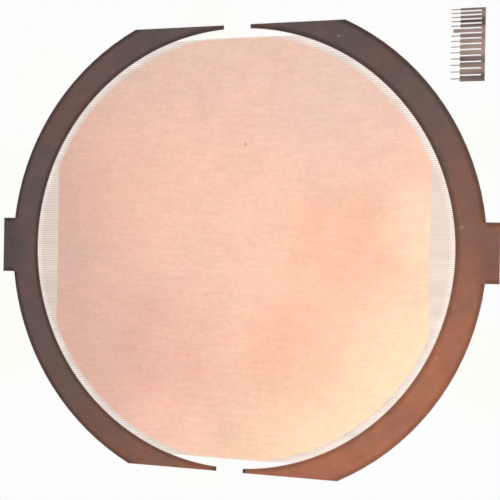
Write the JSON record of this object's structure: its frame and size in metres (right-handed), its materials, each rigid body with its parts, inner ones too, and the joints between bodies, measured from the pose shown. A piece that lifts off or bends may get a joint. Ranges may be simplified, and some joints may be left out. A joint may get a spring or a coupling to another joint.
{
  "type": "interdigitated electrode chip",
  "caption": "Square ceramic tile that carries two interleaved copper combs, each with a half-ring bus and a contact tab at its side.",
  "frame": {"origin": "centre of the tile's underside", "axes": "+Z out of the copper face, +X towards the right-hand contact tab, +Y towards the edge beside the corner mark"},
  "size_m": [0.0254, 0.0254, 0.0006],
  "materials": {
    "substrate": "matte white fired ceramic",
    "electrode": "satin bare copper, tarnished brown on the buses",
    "mark": "dull tarnished copper"
  },
  "bodies": {
    "root": {"substrate": "substrate", "left_electrode": "electrode", "right_electrode": "electrode", "corner_mark": "mark"}
  },
  "joints": []
}
